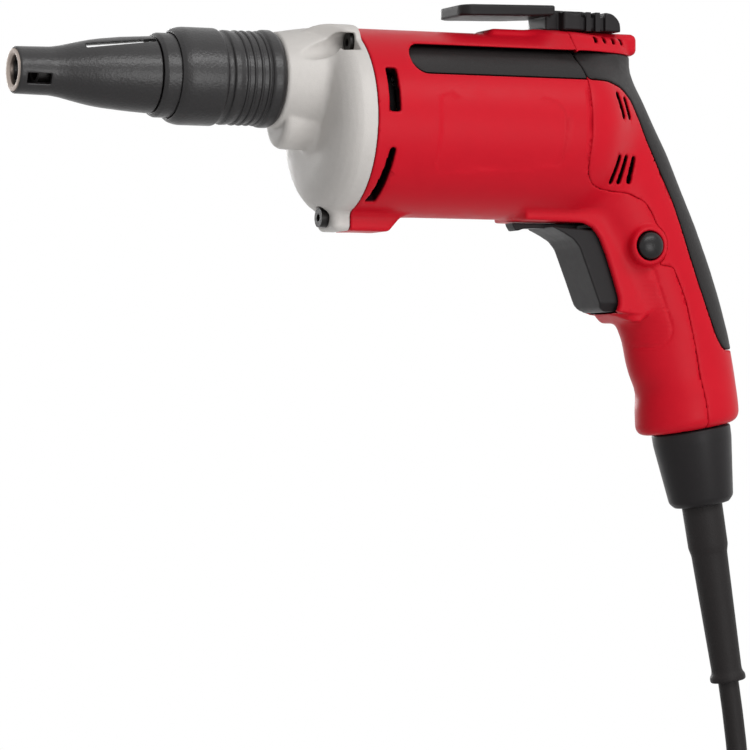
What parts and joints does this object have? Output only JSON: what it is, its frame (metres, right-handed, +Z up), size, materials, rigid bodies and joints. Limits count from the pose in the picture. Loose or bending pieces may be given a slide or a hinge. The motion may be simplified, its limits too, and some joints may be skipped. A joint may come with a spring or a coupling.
{
  "type": "drywall screwdriver",
  "caption": "Corded pistol-grip drywall screwdriver with a depth-setting nose, trigger, belt clip, and a hanging coiled cord with plug.",
  "frame": {"origin": "middle of the hand grip, in the tool's middle plane", "axes": "X along the spindle with the nose towards -X, Z up as the tool is held, Y across the tool"},
  "size_m": [0.3084, 0.07, 0.4562],
  "materials": {
    "red_plastic": "semi-gloss moulded",
    "black_plastic": "moulded, lightly textured",
    "soft_rubber": "soft matte",
    "cord_rubber": "matte",
    "tie_fabric": "woven",
    "cast_aluminium": "bead blasted",
    "bright_steel": "ground",
    "spring_steel": "drawn wire",
    "black_screws": "black oxide",
    "bronze": "sintered",
    "lamination_steel": "stacked sheet",
    "copper": "enamelled wire",
    "brass": "stamped",
    "carbon": "pressed carbon"
  },
  "bodies": {
    "tool": {"gear_case": "cast_aluminium", "gear_case_screws": "black_screws", "spindle_bush": "bronze", "spindle_seal": "cord_rubber", "gear_bush": "bronze", "bearing_plate": "cast_aluminium", "front_bearing_outer": "bright_steel", "front_bearing_balls": "bright_steel", "rear_bearing_outer": "bright_steel", "rear_bearing_balls": "bright_steel", "stator_core": "lamination_steel", "field_coils": "copper", "brush_bracket": "black_plastic", "brush_holders": "brass", "carbon_brushes": "carbon", "brush_springs": "spring_steel", "motor_housing": "red_plastic", "handle_cover": "red_plastic", "front_grip_pads": "soft_rubber", "rear_grip": "soft_rubber", "belt_clip": "black_plastic", "belt_clip_screw": "black_screws", "switch_body": "black_plastic", "lock_button_spring": "spring_steel", "power_inlet": "black_plastic", "inlet_pins": "brass", "collar_retaining_ring": "spring_steel", "detent_ball": "bright_steel", "detent_spring": "spring_steel", "cord_connector": "black_plastic", "strain_relief": "cord_rubber", "cord_lead": "cord_rubber", "cord_coil": "cord_rubber", "cord_tail": "cord_rubber", "cord_tie": "tie_fabric", "plug_body": "cord_rubber", "plug_blades": "brass"},
    "armature": {"armature_shaft": "bright_steel", "armature_core": "lamination_steel", "armature_windings": "copper", "commutator": "copper", "fan": "black_plastic", "front_bearing_inner": "bright_steel", "rear_bearing_inner": "bright_steel"},
    "gear": {"drive_gear": "bright_steel"},
    "clutch_carriage": {"thrust_washer": "bright_steel"},
    "spindle": {"spindle": "bright_steel", "bit_holder": "bright_steel", "bit_magnet": "bright_steel", "clutch_spring": "spring_steel"},
    "collar": {"adjusting_collar": "black_plastic"},
    "sleeve": {"depth_sleeve": "bright_steel"},
    "nose": {"nosepiece": "black_plastic", "locator_tip": "bright_steel"},
    "trigger": {"trigger": "black_plastic"},
    "lever": {"reversing_lever": "black_plastic"},
    "button": {"lock_button": "black_plastic"},
    "nut": {"cord_nut": "black_plastic"}
  },
  "joints": [
    {"name": "armature_spin", "type": "hinge", "parent": "tool", "child": "armature", "pos_m": [-0.098, 0, 0.075], "axis": [1, 0, 0], "continuous": true},
    {"name": "gear_spin", "type": "hinge", "parent": "tool", "child": "gear", "pos_m": [-0.147, 0, 0.09], "axis": [1, 0, 0], "continuous": true},
    {"name": "spindle_slide", "type": "slide", "parent": "tool", "child": "clutch_carriage", "axis": [1, 0, 0], "range_m": [0, 0.003], "stiffness_N_per_m": 600, "deforming": ["clutch_spring"]},
    {"name": "spindle_spin", "type": "hinge", "parent": "clutch_carriage", "child": "spindle", "pos_m": [-0.188, 0, 0.09], "axis": [1, 0, 0], "continuous": true},
    {"name": "collar_turn", "type": "hinge", "parent": "tool", "child": "collar", "pos_m": [-0.173, 0, 0.09], "axis": [1, 0, 0], "range_deg": [-180, 180]},
    {"name": "sleeve_slide", "type": "slide", "parent": "tool", "child": "sleeve", "axis": [1, 0, 0], "range_m": [-0.0022, 0.0022]},
    {"name": "nosepiece_pull", "type": "slide", "parent": "sleeve", "child": "nose", "axis": [-1, 0, 0], "range_m": [0, 0.012]},
    {"name": "trigger_pull", "type": "slide", "parent": "tool", "child": "trigger", "axis": [1, 0, 0], "range_m": [0, 0.006], "stiffness_N_per_m": 700},
    {"name": "reversing_lever_swing", "type": "hinge", "parent": "tool", "child": "lever", "pos_m": [-0.046, 0, 0.04], "axis": [0, 0, 1], "range_deg": [-20, 20]},
    {"name": "lock_button_push", "type": "slide", "parent": "tool", "child": "button", "axis": [0, 1, 0], "range_m": [0, 0.0025], "stiffness_N_per_m": 400, "deforming": ["lock_button_spring"]},
    {"name": "cord_nut_turn", "type": "hinge", "parent": "tool", "child": "nut", "pos_m": [0.0075, 0, -0.0386], "axis": [0.165, 0, -0.9863], "range_deg": [0, 90]}
  ],
  "couplings": [
    {"joint": "gear_spin", "follows": "armature_spin", "ratio": -0.25},
    {"joint": "spindle_spin", "follows": "armature_spin", "ratio": -0.25},
    {"joint": "collar_turn", "follows": "sleeve_slide", "rad_per_m": 1396.3}
  ]
}
